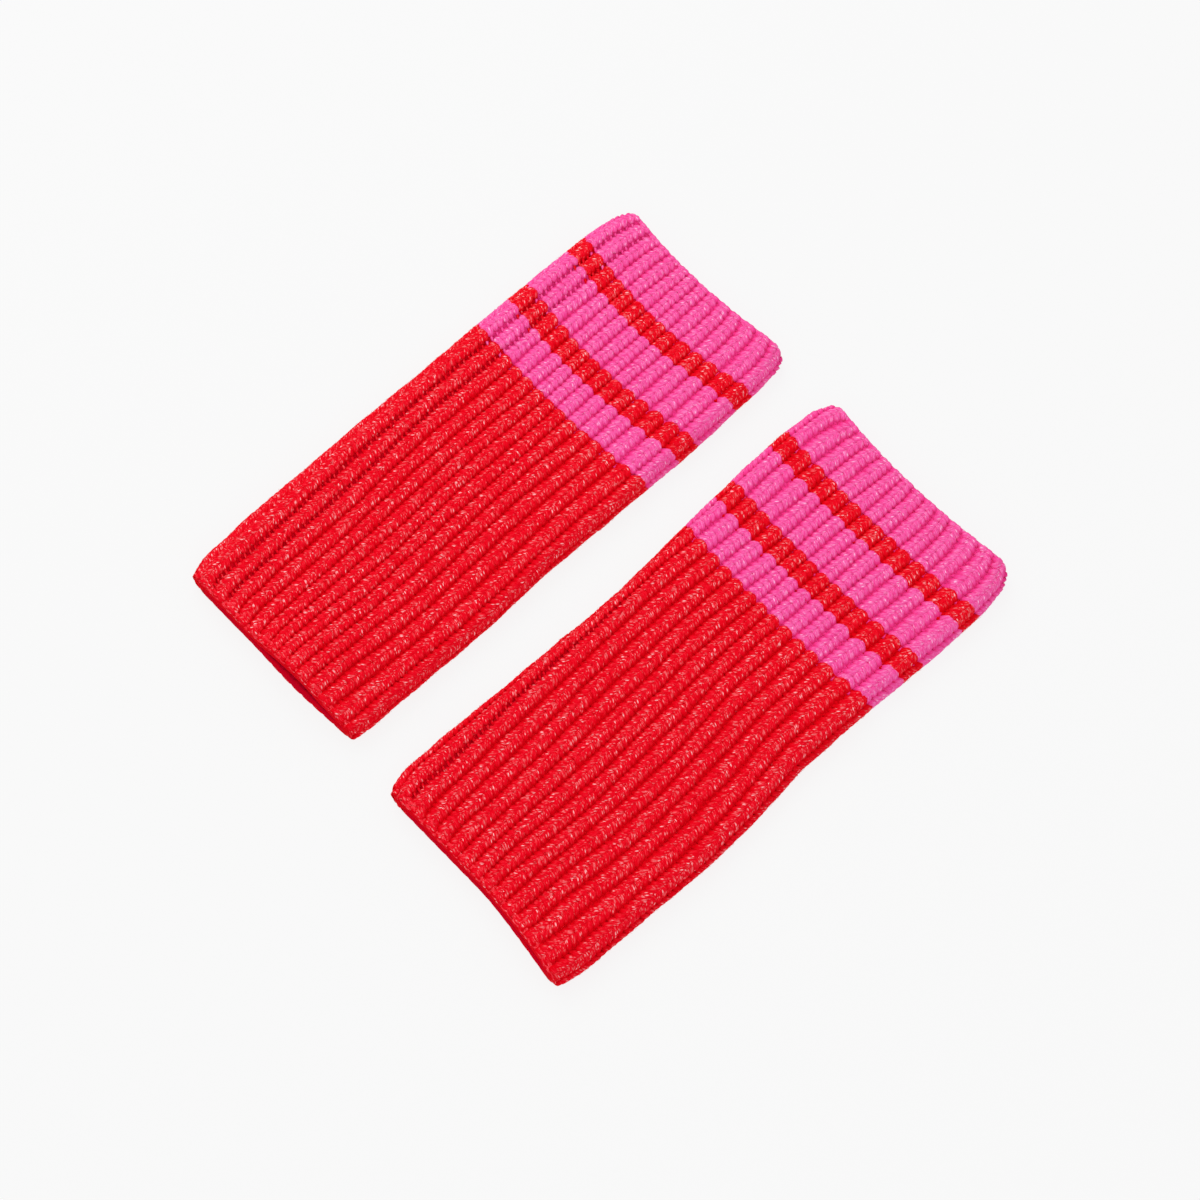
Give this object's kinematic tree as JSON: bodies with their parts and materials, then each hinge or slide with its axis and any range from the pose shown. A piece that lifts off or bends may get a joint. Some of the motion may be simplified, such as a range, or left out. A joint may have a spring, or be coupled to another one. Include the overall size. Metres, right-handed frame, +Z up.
{
  "type": "pair of wrist warmers",
  "caption": "Ribbed knit wrist warmers lying flat side by side: thick tubes open at both ends, a red body with a pink striped hand end, worn over wrist and palm.",
  "frame": {"origin": "centre of the pair's bounding box, on the surface that it lies on", "axes": "+Y along the wrist warmers from the red hem to the pink hand end, +X across the pair to the right-hand one, +Z up from the surface"},
  "size_m": [0.1981, 0.212, 0.015],
  "materials": {
    "ribbed_knit": "matt fuzzy wool rib, red with bands of hot pink"
  },
  "bodies": {
    "root": {"left_warmer": "ribbed_knit", "right_warmer": "ribbed_knit"}
  },
  "joints": []
}
